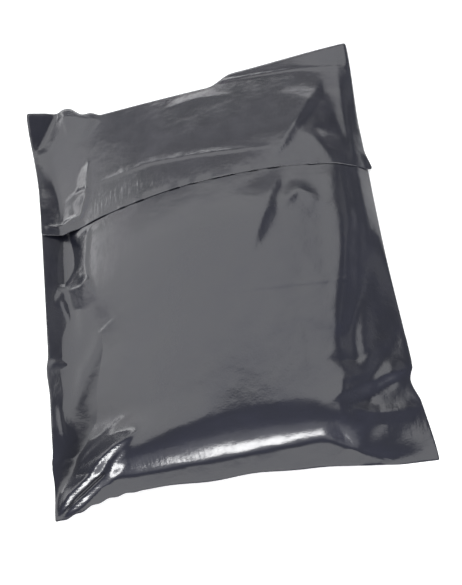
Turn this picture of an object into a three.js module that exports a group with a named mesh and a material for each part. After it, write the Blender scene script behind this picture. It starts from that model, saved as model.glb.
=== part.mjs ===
// A filled and sealed poly mailer bag, lying on its back panel.
//
// The bag is one length of polythene film: two panels welded together along both sides and across the
// bottom, with the open end folded down over the front and stuck there. It is modelled as one closed
// solid, because its contents are sealed in. Every section along the bag is the same loop: under the
// back panel, round the fold, over the flap, round the flap's free edge, into the slit below the flap
// and down the front panel to the bottom weld. The solid is that loop lofted from side to side.
//
// Millimetres, +Z up. X runs across the bag and +Y from the bottom weld to the fold.
import * as THREE from "three";

// Driving dimensions.
const LAY_FLAT_WIDTH = 250; // of the empty film tube
const SEALED_LENGTH = 322; // from the bottom weld to the fold
const FLAP_LENGTH = 112; // folded down over the front panel
const CROWN_HEIGHT = 35; // the top of the contents above the floor

// Where the contents fill the bag, each measured in from an edge of the bag.
const SIDE_MARGIN = 4; // flat film beside the contents
const SIDE_RAMP = 60; // from the margin up to the crown
const BOTTOM_MARGIN = 20;
const BOTTOM_RAMP = 80;
const FOLD_RAMP = 135;

// What filling the bag does to its outline.
const SIDE_PULL = 7.5; // each side comes in by this much beside the contents
const BODY_SHIFT = 2.5; // the filled part sits a little to the right of the fold
const BOTTOM_BOW = 7; // the middle of the bottom weld is pulled in
const BOTTOM_BOW_RUN = 62; // up from the weld
const CORNER_FLARE = 7; // the bottom corners stay nearer to their full width
const FLARE_RUN = 46; // along the side

// Edges. The film is far thinner than a solid can be, so welded edges take a thickness of their own.
const EDGE_THICKNESS = 0.8;
const FLAP_THICKNESS = 0.8;
const SIDE_LIFT = 14; // the side welds stand above the floor, because the contents are thick
const BOTTOM_LIFT = 6; // and so does the bottom weld
const LIFT_RUN = 30; // from a side weld in to where the back panel lies on the floor
const FOLD_HEIGHT = 3.2; // the springy fold at the open end
const SLIT_DEPTH = 12; // the free margin of the flap below its adhesive
const SLIT_GAP = 0.4;

// How finely the loft follows the shape.
const STATIONS_ACROSS = 34;
const STEPS_ALONG = 24;
const STEPS_ALONG_FLAP = 10;
const STEPS_IN_SLIT = 2;
const STEPS_ROUND_FOLD = 5;

const FLAP_EDGE = SEALED_LENGTH - FLAP_LENGTH;

// Rises smoothly from 0 at `from` to 1 at `to`, which may be lower than `from`.
function ramp(value, from, to) {
  const t = THREE.MathUtils.clamp((value - from) / (to - from), 0, 1);
  return t * t * (3 - 2 * t);
}

// The bag's outline at a distance `along` from the bottom weld.
function outline(along) {
  const filled = ramp(along, SEALED_LENGTH, FLAP_EDGE);
  const flare = CORNER_FLARE * ramp(along, FLARE_RUN, 0);
  return {
    centre: BODY_SHIFT * filled,
    halfWidth: LAY_FLAT_WIDTH / 2 - SIDE_PULL * filled + flare,
  };
}

// A slope that starts steep and levels out: 0 at `from`, 1 at `from + run` and beyond.
function dome(value, from, run, power) {
  return 1 - (1 - THREE.MathUtils.clamp((value - from) / run, 0, 1)) ** power;
}

// How far the back panel hangs above the floor, near the welded edges.
function backHeight(fromSide, along) {
  const filled = ramp(along, SEALED_LENGTH - 20, 220) * ramp(along, 8, 60);
  const beside = SIDE_LIFT * ramp(fromSide, LIFT_RUN, 0) * filled;
  const below = BOTTOM_LIFT * ramp(along, 2 * BOTTOM_MARGIN, BOTTOM_MARGIN);
  return Math.max(beside, below);
}

// The share of the crown that the contents reach.
function fullness(fromSide, along) {
  const beside = dome(fromSide, SIDE_MARGIN, SIDE_RAMP, 1.6);
  const above = dome(along, BOTTOM_MARGIN, BOTTOM_RAMP, 3);
  const below = dome(SEALED_LENGTH - along, 0, FOLD_RAMP, 1.5);
  return beside * above * below;
}

function frontHeight(fromSide, along) {
  const back = backHeight(fromSide, along);
  const fold = (FOLD_HEIGHT - EDGE_THICKNESS) * ramp(along, FLAP_EDGE, SEALED_LENGTH);
  const edge = back + EDGE_THICKNESS + fold;
  return edge + (CROWN_HEIGHT - edge) * fullness(fromSide, along);
}

// The loop of a section, as a list of places. Each is a distance along the bag and a function that gives
// its height from a distance in from the side.
function sectionLoop() {
  const loop = [];
  const add = (along, height) => loop.push({ along, height });
  const foldRadius = (FOLD_HEIGHT + SLIT_GAP + FLAP_THICKNESS) / 2;
  const foldCentre = SEALED_LENGTH - foldRadius;

  for (let i = 0; i <= STEPS_ALONG; i++) {
    const along = (foldCentre * i) / STEPS_ALONG;
    add(along, (fromSide) => backHeight(fromSide, along));
  }
  for (let i = 1; i < STEPS_ROUND_FOLD; i++) {
    const angle = (Math.PI * i) / STEPS_ROUND_FOLD;
    const height = foldRadius * (1 - Math.cos(angle));
    add(foldCentre + foldRadius * Math.sin(angle), () => height);
  }
  for (let i = 0; i <= STEPS_ALONG_FLAP; i++) {
    const along = THREE.MathUtils.lerp(foldCentre, FLAP_EDGE, i / STEPS_ALONG_FLAP);
    const foldBlend = ramp(along, FLAP_EDGE, foldCentre);
    add(along, (fromSide) => {
      const film = frontHeight(fromSide, along) + SLIT_GAP + FLAP_THICKNESS;
      return THREE.MathUtils.lerp(film, Math.max(film, 2 * foldRadius), foldBlend);
    });
  }
  for (let i = 0; i <= STEPS_IN_SLIT; i++) {
    const along = FLAP_EDGE + (SLIT_DEPTH * i) / STEPS_IN_SLIT;
    add(along, (fromSide) => frontHeight(fromSide, along) + SLIT_GAP);
  }
  for (let i = STEPS_IN_SLIT; i >= 0; i--) {
    const along = FLAP_EDGE + (SLIT_DEPTH * i) / STEPS_IN_SLIT;
    add(along, (fromSide) => frontHeight(fromSide, along));
  }
  for (let i = STEPS_ALONG - 1; i >= 0; i--) {
    const along = (FLAP_EDGE * i) / STEPS_ALONG;
    add(along, (fromSide) => frontHeight(fromSide, along));
  }
  return loop;
}

// One point of the loft. `across` runs from -1 on the left side to 1 on the right.
function loftPoint({ along, height }, across) {
  const { centre, halfWidth } = outline(along);
  const fromSide = (1 - Math.abs(across)) * halfWidth;
  const bow = ramp(along, BOTTOM_BOW_RUN, 0);
  const pulledIn = BOTTOM_BOW * bow * (1 - across * across);
  return new THREE.Vector3(centre + across * halfWidth, along + pulledIn, height(fromSide));
}

// The closed loft: quads between neighbouring sections, and a cap on each side.
function loftedBag() {
  const loop = sectionLoop();
  const size = loop.length;
  const points = [];
  for (let i = 0; i <= STATIONS_ACROSS; i++) {
    const across = (2 * i) / STATIONS_ACROSS - 1;
    for (const place of loop) points.push(loftPoint(place, across));
  }

  const faces = [];
  for (let i = 0; i < STATIONS_ACROSS; i++) {
    for (let j = 0; j < size; j++) {
      const next = (j + 1) % size;
      const [a, b] = [i * size + j, i * size + next];
      const [c, d] = [a + size, b + size];
      faces.push(a, b, c, b, d, c);
    }
  }
  const lastSection = STATIONS_ACROSS * size;
  const side = points.slice(0, size).map(({ y, z }) => new THREE.Vector2(y, z));
  for (const [a, b, c] of THREE.ShapeUtils.triangulateShape(side, [])) {
    faces.push(a, c, b, lastSection + a, lastSection + b, lastSection + c);
  }

  const geometry = new THREE.BufferGeometry().setFromPoints(points);
  geometry.setIndex(faces);
  geometry.computeVertexNormals();
  return geometry;
}

// Puts the origin on the floor, below the middle of the bag's box.
function centredOnFloor(geometry) {
  geometry.computeBoundingBox();
  const { min, max } = geometry.boundingBox;
  return geometry.translate(-(min.x + max.x) / 2, -(min.y + max.y) / 2, -min.z);
}

const greyPolythene = new THREE.MeshStandardMaterial({
  color: 0x55565a,
  roughness: 0.38,
  metalness: 0,
});

const mailer = new THREE.Group();
const mailerBag = new THREE.Mesh(centredOnFloor(loftedBag()), greyPolythene);
mailerBag.name = "mailer_bag";
mailer.add(mailerBag);

export default mailer;
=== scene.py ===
import math

import bpy
import numpy as np
from mathutils import Matrix, Vector


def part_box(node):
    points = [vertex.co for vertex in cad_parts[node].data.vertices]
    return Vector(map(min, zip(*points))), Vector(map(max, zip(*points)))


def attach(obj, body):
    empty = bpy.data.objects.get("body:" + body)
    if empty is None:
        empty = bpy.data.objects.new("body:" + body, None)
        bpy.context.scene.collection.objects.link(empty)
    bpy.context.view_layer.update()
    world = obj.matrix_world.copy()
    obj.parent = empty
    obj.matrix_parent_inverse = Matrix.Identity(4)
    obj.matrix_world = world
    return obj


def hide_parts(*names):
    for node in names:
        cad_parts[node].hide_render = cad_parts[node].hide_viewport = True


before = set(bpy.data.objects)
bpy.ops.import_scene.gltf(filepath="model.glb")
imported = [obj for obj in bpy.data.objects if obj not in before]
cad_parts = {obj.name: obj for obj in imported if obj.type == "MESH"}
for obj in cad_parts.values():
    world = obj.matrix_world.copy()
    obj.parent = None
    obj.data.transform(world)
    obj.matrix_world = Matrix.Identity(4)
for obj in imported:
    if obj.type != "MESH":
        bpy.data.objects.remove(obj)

bl_info = {
    "name": "Poly mailer bag",
    "version": (1, 0, 0),
    "blender": (4, 5, 0),
    "location": "View3D > Sidebar > Mailer",
    "description": "A filled, sealed and folded-over polythene mailing bag",
    "category": "Object",
}

# The bag is worked out in millimetres, with x across from the middle of the fold and y up from the
# bottom weld. Metres and the frame's origin come in at the end, in to_frame.
MM = 0.001
BAG_LOW, BAG_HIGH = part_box("mailer_bag")
LENGTH = (BAG_HIGH.y - BAG_LOW.y) / MM
CENTRE = np.array((1.0, LENGTH / 2, 0.0))
LAY_FLAT_WIDTH = 250.0

# The film is one length: up the back panel, round the fold, down the flap to its free edge, back under
# the flap for the depth of the slit, and down the front panel. The mesh has this many rows in each
# section, most of them in the front panel, where the creases are.
FLAP = 112.0
SLIT = 18.0
FLAP_EDGE = LENGTH - FLAP
BACK, FLAP_TOP, FLAP_UNDER, FRONT = range(4)
SECTIONS = (LENGTH, FLAP, SLIT, FLAP_EDGE + SLIT)
ROWS = (50, 38, 6, 92)
COLUMNS = 96

# The film leaves the flat bottom seam this far up, at the toe, and stands steepest there.
TOE = 20.0


def linear(hex_colour):
    """An sRGB hex colour as the linear values that shaders take."""
    parts = [int(hex_colour[i : i + 2], 16) / 255 for i in (1, 3, 5)]
    return tuple(c / 12.92 if c <= 0.04045 else ((c + 0.055) / 1.055) ** 2.4 for c in parts)


def smooth(value, start, end):
    """Rises smoothly from 0 at start to 1 at end, which may be the lower of the two."""
    t = np.clip((value - start) / (end - start), 0, 1)
    return t * t * (3 - 2 * t)


def bump(value, middle, reach):
    """1 in the middle, falling smoothly to 0 at that reach on both sides."""
    return 1 - smooth(np.abs(value - middle), 0, reach)


def dome(value, run, power):
    """A slope that starts steep and levels out: 0 at 0, and 1 at the end of its run and beyond."""
    return 1 - (1 - np.clip(value / run, 0, 1)) ** power


class MailerShape(bpy.types.PropertyGroup):
    """The heights that the contents give the bag"""

    crown: bpy.props.FloatProperty(
        name="Crown", description="Height of the contents", default=0.0345, unit="LENGTH"
    )
    side_lift: bpy.props.FloatProperty(
        name="Side lift", description="Height of the left weld above the floor", default=0.012, unit="LENGTH"
    )
    seam_lift: bpy.props.FloatProperty(
        name="Seam lift", description="Height of the bottom seam above it", default=0.005, unit="LENGTH"
    )


class MailerFinish(bpy.types.PropertyGroup):
    """The colours of the film and of the floor below it"""

    film: bpy.props.FloatVectorProperty(
        name="Film", description="The grey outer layer", default=linear("#1f2026"), subtype="COLOR"
    )
    tint: bpy.props.FloatVectorProperty(
        name="Tint", description="The bluish clouds in the film", default=linear("#1d1e29"), subtype="COLOR"
    )
    floor: bpy.props.FloatVectorProperty(
        name="Floor", description="The studio floor", default=linear("#f4f4f4"), subtype="COLOR"
    )


# ---- the outline of the filled bag, seen from above ----


def left_side(y):
    """The left weld, drawn in beside the contents, with a jog and a nick."""
    jog = 1.5 * smooth(y, 112, 102) * smooth(y, 80, 101) + 1.2 * smooth(y, 41, 37) * smooth(y, 22, 36)
    return -125 + 10.5 * smooth(y, 318, 222) + 0.5 * smooth(y, 215, 100) - jog - 4.5 * smooth(y, 60, 0)


def right_side(y):
    """The right weld, which flares below the notch above the bottom corner."""
    notch = 3.5 * smooth(y, 60, 52) * smooth(y, 36, 51)
    return 125 - 3 * smooth(y, 318, 240) + 2 * smooth(y, 150, 60) + 4 * smooth(y, 50, 0) - notch


def bottom_edge(x):
    """How far the bottom edge is above the line across the bag: it slants, and its cut isn't clean."""
    nicks = 0.7 * np.sin(x / 1.9) * smooth(x, -122, -108) * smooth(x, -50, -74) + 0.5 * np.sin(x / 8.3)
    return 8.5 * smooth(x, -118, -62) - 3.6 * smooth(x, -75, 10) - 11 * smooth(x, 5, 132) + nicks


def top_edge(x):
    """The fold at the top, which steps up on the right to the doubled wedge and is crumpled on the left."""
    crumple = 7 * bump(x, -92, 13) + 3 * bump(x, -74, 8)
    return LENGTH - 13.5 * smooth(x, -112, -66) + 10 * smooth(x, 18, 37) + 3 * smooth(x, 37, 120) + crumple


# ---- creases ----


def measure(x, y, path):
    """How far each point is from a path, positive on the path's left, and how far along it is, 0 to 1."""
    best = np.full(np.shape(x), np.inf)
    side = np.zeros(np.shape(x))
    share = np.zeros(np.shape(x))
    lengths = [math.dist(a, b) for a, b in zip(path, path[1:])]
    run = 0.0
    for (ax, ay), (bx, by), length in zip(path, path[1:], lengths):
        ux, uy = (bx - ax) / length, (by - ay) / length
        t = np.clip((x - ax) * ux + (y - ay) * uy, 0, length)
        away = np.hypot(x - ax - t * ux, y - ay - t * uy)
        closer = away < best
        turn = np.sign(ux * (y - ay) - uy * (x - ax))
        best = np.where(closer, away, best)
        side = np.where(closer, turn, side)
        share = np.where(closer, (run + t) / sum(lengths), share)
        run += length
    return best * side, share


def crease(x, y, path, height, left, right, ends=0.25, power=1.5):
    """A sharp ridge along a path, or a valley if height is negative, that falls away over its own width on
    each side. It gets lower and narrower towards its ends."""
    away, share = measure(x, y, path)
    fade = smooth(share, -0.001, ends) * smooth(share, 1.001, 1 - ends)
    reach = np.where(away > 0, left, right) * (0.3 + 0.7 * fade)
    return height * fade * np.clip(1 - np.abs(away) / reach, 0, 1) ** power


# The lines along which the film is turned up at the top: the left corner, and the wedge on the right.
CORNER_FOLD = ((-121, 286), (-101, 322))
WEDGE_FOLD = ((24, 309), (35, 308.6), (88, 303), (130, 295.5))


# The broad folds of the front panel, which the film has before it settles: the path of each, its height,
# how far it spreads to the left and to the right of that path, and the share of the path that each end
# takes to fade.
BROAD_FOLDS = (
    # Beside the contents on the left, and the hollow below the flap.
    (((-106, 168), (-97, 132), (-88, 102), (-86, 56)), 1.6, 20, 10, 0.2),
    (((-98, 214), (-99, 190), (-103, 170)), -3.0, 12, 10, 0.3),
    # The slanting drop down the right side, and the tucks above the flared corner.
    (((126, 58), (104, 51), (88, 45), (66, 38)), 2.2, 12, 16, 0.25),
    (((128, 30), (108, 29), (90, 31), (72, 38)), 1.6, 14, 9, 0.25),
    (((118, 84), (100, 66), (78, 52)), 1.2, 9, 9, 0.3),
    # Into the left bottom corner.
    (((-113, 6), (-96, 19), (-78, 31), (-55, 42)), 2.0, 12, 8, 0.2),
    # Soft folds below the flap.
    (((66, 214), (50, 176), (30, 134)), 2.2, 10, 26, 0.4),
    (((58, 170), (73, 190), (92, 168)), 0.8, 9, 7, 0.3),
)


# The sharp creases that the settled film keeps, in the same form. The last number, where there is one, says
# how hollow the sides are: at 1 they are straight.
SHARP_CREASES = (
    # Two tight folds and a short one run into the left bottom corner.
    (((-120, 1), (-107, 12.5), (-80, 30), (-52, 46)), 5.4, 13, 4.0, 0.28, 1.1),
    (((-116, 0), (-97, 11), (-77, 24), (-60, 38)), 3.8, 4.4, 3.4, 0.28, 1.1),
    (((-86, 15), (-76, 21.5), (-64, 30)), 1.8, 2.8, 2.8, 0.3, 1.2),
    (((-116, 34), (-104, 44), (-88, 50), (-66, 55)), -1.0, 6, 6, 0.3),
    # The long fold down the left side, and the facet that it ends in.
    (((-105, 158), (-98, 132), (-91.5, 103)), 0.7, 3, 2.0, 0.12, 1.2),
    (((-92, 105), (-88.5, 92), (-90, 60)), 1.5, 2.5, 4.5, 0.3, 1.0),
    # The tongue where that fold starts, and the fold that runs up from it to the flap.
    (((-108, 168), (-98, 162.5), (-88, 161), (-80, 166)), 3.2, 12, 16, 0.25, 1.0),
    (((-83, 158), (-84.5, 180), (-80, 208)), 0.9, 8, 2.6, 0.12, 1.0),
    # Small creases across the left side.
    (((-119, 105), (-110, 107), (-98, 104)), 0.8, 2.6, 5, 0.2),
    (((-88, 118), (-74, 124), (-60, 130)), 0.4, 2.6, 3, 0.3),
    (((-86, 48), (-72, 54), (-56, 60)), 0.8, 5, 6, 0.35),
    (((-109, 78), (-107.5, 60), (-106, 44)), 0.7, 2.2, 2.2, 0.3),
    # The right side.
    (((107.5, 174), (100, 149), (89, 107), (80, 79)), 0.9, 8, 26, 0.12, 1.1),
    (((124, 117), (94, 118), (64, 119), (0, 121)), 0.3, 2.6, 3.4, 0.3),
    (((123, 56), (104, 52), (88, 46), (71, 38)), 1.2, 6, 12, 0.25, 1.2),
    (((117, 51), (98, 43), (88, 32)), -1.0, 5, 7, 0.3, 1.2),
    (((105, 52), (99, 46), (96, 38)), 0.7, 3, 3, 0.3),
    (((126, 31), (108, 29), (92, 30), (80, 35)), 0.9, 9, 6, 0.3),
    (((102, 70), (88, 64), (70, 66)), -0.9, 6, 8, 0.35),
    (((98, 56), (84, 52), (68, 49)), 0.6, 6, 6, 0.35),
    # Soft creases below the flap.
    (((58, 172), (66, 183), (75, 188), (84, 183), (94, 171)), 0.45, 10, 5, 0.3, 1.2),
)


# The creases of the flap alone, in the same form.
FLAP_CREASES = (
    # The mouth of the bag, which shows through the flap.
    (((-84, 240), (-30, 241.5), (-6, 237.5), (33, 232.5), (70, 229)), 0.6, 7, 1.8, 0.25),
    # Beside the left end of the adhesive strip.
    (((-100, 236), (-86, 240), (-72, 236)), 0.9, 4, 3, 0.3),
    (((-88, 212), (-80, 234), (-76, 268)), 1.7, 10, 3.0, 0.3, 1.0),
    (((-118, 213), (-106, 214), (-92, 219), (-80, 220)), 1.0, 4, 5, 0.25),
    # The crumpled left end of the fold, and the line of its turned-up corner.
    (((-104, 309), (-95, 312), (-87, 310), (-77, 304), (-66, 300)), 2.6, 13, 18, 0.25, 1.0),
    (((-120, 284), (-110, 302), (-99, 322)), -1.4, 5, 9, 0.2, 1.0),
    # The edge of the doubled wedge, and the soft folds below it.
    (WEDGE_FOLD, 0.5, 3, 2.5, 0.1),
    (((104, 290), (84, 256), (58, 214)), 1.8, 8, 30, 0.3),
    (((119, 240), (105, 236), (88, 243)), -0.4, 10, 10, 0.35),
    (((-20, 292), (10, 296), (40, 290)), 0.5, 9, 12, 0.35),
)


# ---- heights ----


def corner_turned(x, y):
    """How far each place is past the fold of the left top corner."""
    return np.clip(measure(x, y, CORNER_FOLD)[0], 0, 22)


def left_foot(y):
    """How far to the left the contents fill the front panel."""
    return -102 + 10 * smooth(y, 168, 104) - 13 * smooth(y, 66, 20) - 6 * smooth(y, 215, 290)


def right_foot(y):
    """How far to the right the contents fill the front panel."""
    return 93 + 21 * smooth(y, 72, 180) - 13 * smooth(y, 60, 20)


def back_height(x, y):
    """The back panel lies on the floor below the contents. Its left weld stands up at a third of their
    height, its right and bottom welds lower, and its left top corner is turned up."""
    shape = bpy.context.scene.mailer_shape
    left = np.clip((left_foot(y) - x) / (left_foot(y) - left_side(y)), 0, 1)
    right = 0.15 * smooth(x, right_side(y) - 24, right_side(y))
    side_lift = round(shape.side_lift / MM, 3)
    seam_lift = round(shape.seam_lift / MM, 3)
    beside = side_lift * np.maximum(left, right) * smooth(y, LENGTH - 20, 220) * smooth(y, 8, 60)
    below = seam_lift * smooth(y, 40, 21) * smooth(x, -128, -66) * smooth(x, 112, 50)
    return np.maximum(beside, below) + 0.58 * corner_turned(x, y)


def body_height(x, y):
    """The front panel over the contents: a low pillow with a short steep drop all round. The drop is
    steepest at the toe, and widest at the right of the flap."""
    crown = bpy.context.scene.mailer_shape.crown / MM
    from_left = x - left_foot(y)
    from_right = right_foot(y) - x
    skirt = np.clip((right_side(y) - x) / np.maximum(right_side(y) - right_foot(y), 4), 0, 1)
    flap = smooth(y, 205, 255)
    left = dome(from_left, 110, 1.6)
    right = (0.17 + 0.25 * flap) * smooth(from_right, 0, 13 + 25 * flap) + 0.33 * skirt
    right += (0.5 - 0.25 * flap) * dome(from_right, 96, 1.7)
    above_toe = y - TOE - 7 * smooth(x, -58, -118) + 20 * smooth(x, 58, 98)
    low = smooth(y, 62, 26)
    sides = left ** (1 - 0.8 * low) * right ** (1 - 0.7 * low * smooth(x, 92, 74))
    toe = 0.54 * dome(above_toe, 25, 2.2) * sides
    toe += 0.46 * dome(above_toe, 140, 2) * left * right
    top = dome(LENGTH - y, 150, 1.4)
    edge = back_height(x, y) + 0.35 + 1.4 * smooth(y, 235, LENGTH)
    return edge + (crown - edge) * toe * top


def front_height(x, y):
    """The front panel with its broad folds, which fade out at the welds."""
    folds = sum(crease(x, y, *each) for each in BROAD_FOLDS)
    inside = smooth(x, left_side(y), left_side(y) + 8) * smooth(x, right_side(y), right_side(y) - 8)
    return np.maximum(body_height(x, y) + folds * inside, back_height(x, y) + 0.3)


def flap_height(x, y):
    """The flap lies on the front panel. The left corner of its free edge stands up, and so does the doubled
    wedge."""
    lift = 0.8 + 0.6 * smooth(y, 240, LENGTH)
    pocket = 4.0 * bump(x, -101, 15) * smooth(y, 236, 206)
    roll = 0.13 * np.clip(measure(x, y, WEDGE_FOLD)[0], 0, 30) * smooth(x, 24, 40)
    return front_height(x, y) + lift + pocket + roll


# ---- the film ----


def film_places(points):
    """For each corner of a unit grid, how far it is across the film, how far up the bag it ends, and the
    layer that it is in."""
    row = np.round((points[:, 1] + 0.5) * sum(ROWS))
    marks = np.cumsum((0,) + ROWS)
    along = np.interp(row, marks, np.cumsum((0,) + SECTIONS))
    layer = np.searchsorted(marks[1:], row).clip(0, 3)
    fold, free_edge, slit_end = np.cumsum(SECTIONS)[:3]
    up = np.select(
        [layer == BACK, layer == FLAP_TOP, layer == FLAP_UNDER],
        [along, 2 * fold - along, FLAP_EDGE + along - free_edge],
        FLAP_EDGE + SLIT - (along - slit_end),
    )
    return points[:, 0] * 2, up, layer


def fill_bag(across, up, layer):
    """Where each point of the film goes when the bag is filled."""
    x = np.where(across < 0, -across * left_side(up), across * right_side(up))
    share = up / LENGTH
    sag = 4 * smooth(np.abs(x), 60, 120) * bump(up, FLAP_EDGE, 60) * (layer != BACK)
    y = up + bottom_edge(x) * (1 - share) ** 4 + (top_edge(x) - LENGTH) * share ** 8 - sag
    flap = (layer == FLAP_TOP) | (layer == FLAP_UNDER)
    x = x + 3 * smooth(across, 0.85, 1) * bump(up, FLAP_EDGE, SLIT) * flap
    z = np.select(
        [layer == BACK, layer == FLAP_TOP, layer == FLAP_UNDER],
        [back_height(x, y), flap_height(x, y), flap_height(x, y) - 0.3],
        front_height(x, y),
    )
    drawn_in = 0.14 * corner_turned(x, y)
    return np.stack([x + drawn_in, y - drawn_in, z], axis=1)


def lay_flat(across, up, layer, spacing=0.3):
    """Where each point of the film lies in the empty bag, folded flat."""
    return np.stack([across * LAY_FLAT_WIDTH / 2, up, np.choose(layer, [0, 3, 2, 1]) * spacing], axis=1)


def to_frame(points):
    """Points of the bag, in millimetres, as places in the frame."""
    return (points - CENTRE) * MM


def read_points(mesh):
    points = np.empty(len(mesh.vertices) * 3)
    mesh.vertices.foreach_get("co", points)
    return points.reshape(-1, 3)


def write_points(mesh, points):
    mesh.vertices.foreach_set("co", points.astype(np.float32).ravel())
    mesh.update()


def close_edges(bag, wanted, close):
    """Closes the open edges whose two ends are both wanted, with an edit mode operator."""
    bpy.ops.object.mode_set(mode="EDIT")
    bpy.ops.mesh.select_mode(type="EDGE")
    bpy.ops.mesh.select_all(action="DESELECT")
    bpy.ops.mesh.select_non_manifold()
    bpy.ops.object.mode_set(mode="OBJECT")
    points = bag.data.vertices
    for edge in bag.data.edges:
        edge.select = edge.select and all(wanted(points[end].co) for end in edge.vertices)
    for point in points:
        point.select = False
    for edge in bag.data.edges:
        if edge.select:
            for end in edge.vertices:
                points[end].select = True
    bpy.ops.object.mode_set(mode="EDIT")
    close()
    bpy.ops.object.mode_set(mode="OBJECT")


def add_film():
    """The film as a closed bag with no contents, and where each of its points is on the film."""
    bpy.ops.object.select_all(action="DESELECT")
    bpy.ops.mesh.primitive_grid_add(
        x_subdivisions=COLUMNS, y_subdivisions=sum(ROWS), size=1, location=(0, 0, 0)
    )
    bag = bpy.context.object
    bag.name = "film_bag"
    places = film_places(read_points(bag.data))
    write_points(bag.data, lay_flat(*places, spacing=12.0))
    # The two rows at the bottom weld are bridged, and then each side is filled.
    close_edges(bag, lambda point: point.y < 0.5, bpy.ops.mesh.bridge_edge_loops)
    close_edges(bag, lambda point: point.x < 0, bpy.ops.mesh.fill)
    close_edges(bag, lambda point: point.x > 0, bpy.ops.mesh.fill)
    bpy.ops.object.mode_set(mode="EDIT")
    bpy.ops.mesh.select_all(action="SELECT")
    bpy.ops.mesh.normals_make_consistent(inside=False)
    bpy.ops.object.mode_set(mode="OBJECT")
    return bag, places


# The simulation runs at this many times the real size, where Blender's cloth settings are at their best.
SIM_SCALE = 8.0
FRAMES = 40

# How firmly the film is held to its filled shape: at the welds, over the contents, towards the fold, and
# down the left side, where the broad folds are.
HOLD_RIM = 0.3
HOLD_ALL = 0.45
HOLD_FLAP = 0.45
HOLD_FOLDS = 0.5

# The block of folded goods, seen from above, and how far in its rounded rim reaches.
CONTENTS_LOW = np.array((-95.0, 26.0))
CONTENTS_HIGH = np.array((95.0, 262.0))
CONTENTS_RIM = 25.0


def add_contents():
    """The folded goods, which the film is drawn down over."""
    bpy.ops.object.select_all(action="DESELECT")
    bpy.ops.mesh.primitive_grid_add(x_subdivisions=50, y_subdivisions=60, size=1, location=(0, 0, 0))
    contents = bpy.context.object
    plan = read_points(contents.data)[:, :2] + 0.5
    plan = CONTENTS_LOW + (CONTENTS_HIGH - CONTENTS_LOW) * plan
    x, y = plan.T
    from_rim = np.minimum(plan - CONTENTS_LOW, CONTENTS_HIGH - plan).min(axis=1)
    z = (body_height(x, y) - 1.5) * dome(from_rim, CONTENTS_RIM, 3)
    write_points(contents.data, to_frame(np.stack([x, y, z], axis=1)) * SIM_SCALE)
    contents.modifiers.new("Collision", "COLLISION")
    contents.collision.thickness_outer = 0.0008 * SIM_SCALE
    contents.collision.thickness_inner = 0.01 * SIM_SCALE
    contents.collision.cloth_friction = 2
    return contents


def add_ground():
    """The floor that the back panel rests on."""
    bpy.ops.object.select_all(action="DESELECT")
    bpy.ops.mesh.primitive_plane_add(size=6, location=(0, 0, -0.0012 * SIM_SCALE))
    ground = bpy.context.object
    ground.modifiers.new("Collision", "COLLISION")
    ground.collision.thickness_outer = 0.001 * SIM_SCALE
    return ground


def hold_film(bag, filled, layer):
    """Adds the vertex group that says how firmly each point of the film is held where it is."""
    x, y = filled[:, 0], filled[:, 1]
    from_sides = np.minimum(x - left_side(y), right_side(y) - x)
    from_ends = np.minimum(y - bottom_edge(x), top_edge(x) - y)
    from_rim = np.minimum(from_sides, from_ends)
    weight = HOLD_RIM * smooth(from_rim, 14, 0)
    weight = np.maximum(weight, HOLD_ALL * smooth(from_rim, 20, 50) * (layer != BACK))
    weight = np.maximum(weight, HOLD_FLAP * smooth(y, 240, 300))
    weight = np.maximum(weight, HOLD_FOLDS * smooth(x, -62, -80) * (layer != BACK))
    group = bag.vertex_groups.new(name="held")
    for i, w in enumerate(weight):
        group.add([i], float(w), "REPLACE")
    return group


def settle(bag, filled, places):
    """Where the points of the film come to rest when it is drawn down over the contents."""
    write_points(bag.data, to_frame(filled) * SIM_SCALE)
    bag.shape_key_add(name="filled")
    flat = bag.shape_key_add(name="flat")
    points = to_frame(lay_flat(*places)) * SIM_SCALE
    flat.data.foreach_set("co", points.astype(np.float32).ravel())
    flat.value = 0
    bag.active_shape_key_index = 0
    contents = add_contents()
    ground = add_ground()

    cloth = bag.modifiers.new("Cloth", "CLOTH")
    film = cloth.settings
    film.quality = 6
    film.mass = 0.05
    film.tension_stiffness = 60
    film.compression_stiffness = 60
    film.shear_stiffness = 30
    film.bending_stiffness = 3
    film.tension_damping = 10
    film.compression_damping = 10
    film.shear_damping = 10
    film.bending_damping = 1
    film.air_damping = 4
    film.rest_shape_key = flat
    film.effector_weights.gravity = 0.15
    film.vertex_group_mass = hold_film(bag, filled, places[2]).name
    film.pin_stiffness = 5
    # Pressure is on with no force, because the film settles into other wrinkles when it is off.
    film.use_pressure = True
    film.uniform_pressure_force = 0
    cloth.collision_settings.distance_min = 0.0008 * SIM_SCALE
    cloth.collision_settings.collision_quality = 2
    cloth.collision_settings.use_self_collision = False
    cloth.point_cache.frame_start = 1
    cloth.point_cache.frame_end = FRAMES
    scene = bpy.context.scene
    scene.frame_end = FRAMES
    for frame_number in range(1, FRAMES + 1):
        scene.frame_set(frame_number)
    evaluated = bag.evaluated_get(bpy.context.evaluated_depsgraph_get())
    settled = read_points(evaluated.data) / SIM_SCALE / MM + CENTRE

    bag.modifiers.clear()
    bag.shape_key_clear()
    bpy.data.objects.remove(contents)
    bpy.data.objects.remove(ground)
    bpy.context.view_layer.objects.active = bag
    bag.select_set(True)
    return settled


def slackness(x, y):
    """How far the film goes towards its settled place. It is taut over the contents, at the toe and where
    it is glued or welded, and slack at the sides."""
    left = smooth(x, -62, -84) * smooth(x, -106, -92)
    right = smooth(x, 66, 92) * smooth(x, 118, 104)
    weld = 1 - 0.7 * smooth(np.abs(x), 94, 108)
    toe = smooth(y, 75, 45) * (1 - 0.6 * right)
    glue = 1 - 0.8 * bump(y, FLAP_EDGE + 4, 34)
    return (0.3 + 0.3 * left + 0.1 * right) * weld * (1 - 0.7 * toe) * glue


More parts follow.
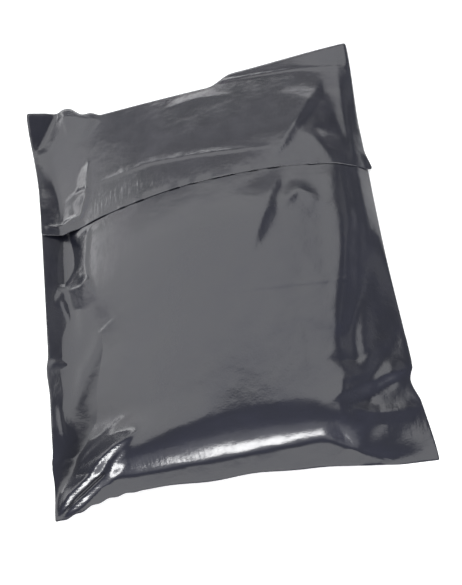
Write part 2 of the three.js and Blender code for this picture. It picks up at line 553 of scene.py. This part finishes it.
def sharpen(bag):
    """Moves the points of the settled film into the sharp creases that the simulation is too coarse for,
    and presses the flap's free edge down where it is stuck."""
    points = read_points(bag.data) / MM + CENTRE
    layer = np.empty(len(points))
    bag.data.attributes["film_layer"].data.foreach_get("value", layer)
    x, y, z = points.T
    inside = smooth(x, left_side(y), left_side(y) + 5) * smooth(x, right_side(y), right_side(y) - 5)
    inside = inside * smooth(y, bottom_edge(x), bottom_edge(x) + 5)
    z += sum(crease(x, y, *each) for each in SHARP_CREASES) * inside * (layer > 0.9)
    z += sum(crease(x, y, *each) for each in FLAP_CREASES) * inside * bump(layer, FLAP_TOP, 0.9)
    stuck = smooth(np.sin(x / 3.1 + 1.4 * np.sin(x / 7.7)), 0.5, -0.2) * smooth(np.abs(x), 96, 82)
    z -= 0.55 * stuck * bump(y, FLAP_EDGE, 6) * smooth(layer, 0.3, 0.9) * smooth(layer, 2.9, 2.2)
    write_points(bag.data, to_frame(np.stack([x, y, z], axis=1)))


def add_attribute(bag, name, values):
    """Stores a number at each point of the film, which the subdivision blends."""
    attribute = bag.data.attributes.new(name, "FLOAT", "POINT")
    attribute.data.foreach_set("value", values.astype(np.float32))


class MAILER_OT_film_bag(bpy.types.Operator):
    """Adds the film bag, folded, filled and sealed"""

    bl_idname = "mailer.film_bag"
    bl_label = "Film bag"

    def execute(self, context):
        bag, places = add_film()
        across, up, layer = places
        glued = bump(up, FLAP_EDGE + 13, 13) * smooth(np.abs(across), 0.85, 0.6) * (layer == FLAP_TOP)
        pulled = 0.4 * bump(up, 24, 24) * (layer == FRONT)
        add_attribute(bag, "film_layer", layer)
        add_attribute(bag, "gathered_film", np.maximum(glued, pulled))
        filled = fill_bag(*places)
        settled = settle(bag, filled, places)
        slack = slackness(filled[:, 0], filled[:, 1])
        filled += slack[:, np.newaxis] * (settled - filled)
        write_points(bag.data, to_frame(filled))
        subdivide = bag.modifiers.new("Fine film", "SUBSURF")
        subdivide.levels = 1
        subdivide.render_levels = 1
        bpy.ops.object.modifier_apply(modifier=subdivide.name)
        sharpen(bag)
        bpy.ops.object.shade_smooth()
        bag.data.materials.append(film_material())
        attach(bag, "root")
        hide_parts("mailer_bag")
        return {"FINISHED"}


def add_node(tree, kind, settings=None, **inputs):
    """Adds a shader node, sets its properties and sets or links its inputs by name."""
    node = tree.nodes.new(kind)
    for name, value in (settings or {}).items():
        setattr(node, name, value)
    for name, value in inputs.items():
        socket = node.inputs[name.replace("_", " ")]
        if isinstance(value, bpy.types.NodeSocket):
            tree.links.new(value, socket)
        else:
            socket.default_value = value
    return node


# The film's patterns, as the sizes of what they draw. The grain is drawn coarser than the haze of real film,
# so that it shows.
CLOUD_SIZE = 16 * MM
DRAPE_SIZE = 11 * MM
GRAIN_SIZE = 1.1 * MM
GATHER_SIZE = (2.2 * MM, 14 * MM)


def film_material():
    """Blown and co-extruded polythene film, grey outside. To the eye it is a dark, slightly bluish grey with
    faint clouds where its thickness varies, under a gloss that breaks up over slack waves, a fine grain, and
    narrow gathers where the film is held by glue or drawn over an edge."""
    finish = bpy.context.scene.mailer_finish
    material = bpy.data.materials.new("coextruded_polythene_film")
    material.use_nodes = True
    tree = material.node_tree
    shader = tree.nodes["Principled BSDF"]
    shader.inputs["IOR"].default_value = 1.52
    place = add_node(tree, "ShaderNodeTexCoord").outputs["Object"]
    clouds = add_node(tree, "ShaderNodeTexNoise", Vector=place, Scale=1 / CLOUD_SIZE, Detail=3.0)
    tint = add_node(tree, "ShaderNodeMix", {"data_type": "RGBA"}, Factor=clouds.outputs["Fac"])
    tint.inputs["A"].default_value = (*finish.film, 1)
    tint.inputs["B"].default_value = (*finish.tint, 1)
    tree.links.new(tint.outputs["Result"], shader.inputs["Base Color"])
    gloss = add_node(tree, "ShaderNodeMapRange", Value=clouds.outputs["Fac"], From_Min=0.3, From_Max=0.7)
    gloss.inputs["To Min"].default_value = 0.17
    gloss.inputs["To Max"].default_value = 0.25
    tree.links.new(gloss.outputs["Result"], shader.inputs["Roughness"])

    drape = add_node(tree, "ShaderNodeTexNoise", Vector=place, Scale=1 / DRAPE_SIZE, Detail=2.0)
    waves = add_node(tree, "ShaderNodeBump", Height=drape.outputs["Fac"], Strength=0.35, Distance=1.0 * MM)
    narrow = add_node(
        tree, "ShaderNodeMapping", Vector=place, Scale=(1 / GATHER_SIZE[0], 1 / GATHER_SIZE[1], 1)
    )
    streaks = add_node(tree, "ShaderNodeTexNoise", Vector=narrow.outputs["Vector"], Scale=1.0, Detail=1.0)
    where = add_node(tree, "ShaderNodeAttribute", {"attribute_name": "gathered_film"})
    gathers = add_node(tree, "ShaderNodeMath", {"operation": "MULTIPLY"})
    tree.links.new(where.outputs["Fac"], gathers.inputs[0])
    tree.links.new(streaks.outputs["Fac"], gathers.inputs[1])
    held = gathers.outputs["Value"]
    pulled = add_node(tree, "ShaderNodeBump", Height=held, Strength=0.5, Distance=0.5 * MM)
    tree.links.new(waves.outputs["Normal"], pulled.inputs["Normal"])
    fine = add_node(tree, "ShaderNodeTexNoise", Vector=place, Scale=1 / GRAIN_SIZE, Detail=2.0)
    grain = add_node(tree, "ShaderNodeBump", Height=fine.outputs["Fac"], Strength=0.6, Distance=0.1 * MM)
    tree.links.new(pulled.outputs["Normal"], grain.inputs["Normal"])
    tree.links.new(grain.outputs["Normal"], shader.inputs["Normal"])
    return material


# ---- the stage ----


# Where the camera stands, round the place on the floor below the bag that it aims at.
CAMERA_AIM = Vector((0.0133, 0.1365 - LENGTH / 2 * MM, 0))
CAMERA_AZIMUTH = 17.1
CAMERA_ELEVATION = 61.1
CAMERA_ROLL = -27.0
CAMERA_DISTANCE = 0.749


def aim(azimuth, elevation, roll):
    """A rotation that looks down at the origin from an azimuth and elevation, turned about the view."""
    a, e, r = (math.radians(v) for v in (azimuth, elevation, roll))
    back = Vector((math.sin(a) * math.cos(e), -math.cos(a) * math.cos(e), math.sin(e)))
    right = (-back).cross(Vector((0, 0, 1))).normalized()
    up = back.cross(right)
    turned_right = math.cos(r) * right + math.sin(r) * up
    turned_up = math.cos(r) * up - math.sin(r) * right
    return Matrix((turned_right, turned_up, back)).transposed()


def add_softbox(name, place, tilt, turn, size, radiance):
    """A rectangular light that faces down, and is then tilted and turned. Its radiance is how bright it
    looks, at any size."""
    angles = (math.radians(tilt), 0, math.radians(turn))
    bpy.ops.object.light_add(type="AREA", location=place, rotation=angles)
    light = bpy.context.object
    light.name = name
    light.data.shape = "RECTANGLE"
    light.data.size, light.data.size_y = size
    light.data.energy = radiance * math.pi * size[0] * size[1]


class MAILER_OT_stage(bpy.types.Operator):
    """Adds the floor, the studio light and the camera"""

    bl_idname = "mailer.stage"
    bl_label = "Stage"

    def execute(self, context):
        scene = context.scene
        finish = scene.mailer_finish
        bpy.ops.mesh.primitive_plane_add(size=8, location=(0, 0, 0))
        floor = context.object
        floor.name = "studio_floor"
        paint = bpy.data.materials.new("matt_painted_floor")
        paint.use_nodes = True
        shader = paint.node_tree.nodes["Principled BSDF"]
        shader.inputs["Base Color"].default_value = (*finish.floor, 1)
        shader.inputs["Roughness"].default_value = 0.9
        shader.inputs["Emission Color"].default_value = (1, 1, 1, 1)
        shader.inputs["Emission Strength"].default_value = 0.42
        floor.data.materials.append(paint)

        # The even grey of the face comes from above, and the bright edges of its creases from the narrow
        # strips beside, behind and in front of it.
        add_softbox("overhead_softbox", (-0.7, 0.5, 1.07), -30, 0, (2.5, 1.25), 2.4)
        add_softbox("left_strip", (-1.17, 0.98, 0.46), -73, 50, (1.1, 0.26), 5.0)
        add_softbox("right_softbox", (1.25, 0.7, 0.85), -55, -60, (1.0, 0.6), 0.5)
        add_softbox("back_softbox", (-0.5, 1.25, 0.75), -60, 0, (2.0, 0.5), 0.5)
        add_softbox("back_strip", (-0.1, 1.5, 0.34), -77, 0, (2.2, 0.24), 5.0)
        add_softbox("front_softbox", (0.3, -1.1, 0.65), 60, 0, (1.8, 0.5), 1.0)
        add_softbox("front_strip", (0.5, -1.2, 0.2), 80, 0, (1.6, 0.32), 25.0)

        world = bpy.data.worlds.new("studio")
        scene.world = world
        world.use_nodes = True
        world.node_tree.nodes["Background"].inputs["Color"].default_value = (0.3, 0.305, 0.32, 1)
        scene.view_settings.view_transform = "Standard"

        bpy.ops.object.camera_add()
        camera = context.object
        turn = aim(CAMERA_AZIMUTH, CAMERA_ELEVATION, CAMERA_ROLL)
        stand = CAMERA_AIM + turn.col[2] * CAMERA_DISTANCE
        camera.matrix_world = Matrix.Translation(stand) @ turn.to_4x4()
        camera.data.sensor_width = 36
        camera.data.sensor_fit = "AUTO"
        camera.data.lens = 67.7
        scene.camera = camera
        return {"FINISHED"}


class MAILER_PT_panel(bpy.types.Panel):
    """Lists the pieces, and the sizes and colours that can be changed before they are added"""

    bl_label = "Mailer"
    bl_space_type = "VIEW_3D"
    bl_region_type = "UI"
    bl_category = "Mailer"

    def draw(self, context):
        for piece in (MAILER_OT_film_bag, MAILER_OT_stage):
            self.layout.operator(piece.bl_idname)
        for group in (context.scene.mailer_shape, context.scene.mailer_finish):
            for name in group.bl_rna.properties.keys():
                if name not in ("rna_type", "name"):
                    self.layout.prop(group, name)


CLASSES = (MailerShape, MailerFinish, MAILER_OT_film_bag, MAILER_OT_stage, MAILER_PT_panel)


def register():
    for piece in CLASSES:
        bpy.utils.register_class(piece)
    bpy.types.Scene.mailer_shape = bpy.props.PointerProperty(type=MailerShape)
    bpy.types.Scene.mailer_finish = bpy.props.PointerProperty(type=MailerFinish)


def unregister():
    del bpy.types.Scene.mailer_finish
    del bpy.types.Scene.mailer_shape
    for piece in reversed(CLASSES):
        bpy.utils.unregister_class(piece)


def main():
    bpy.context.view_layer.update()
    register()
    bpy.ops.mailer.film_bag()
    bpy.ops.mailer.stage()


if __name__ == "__main__":
    main()
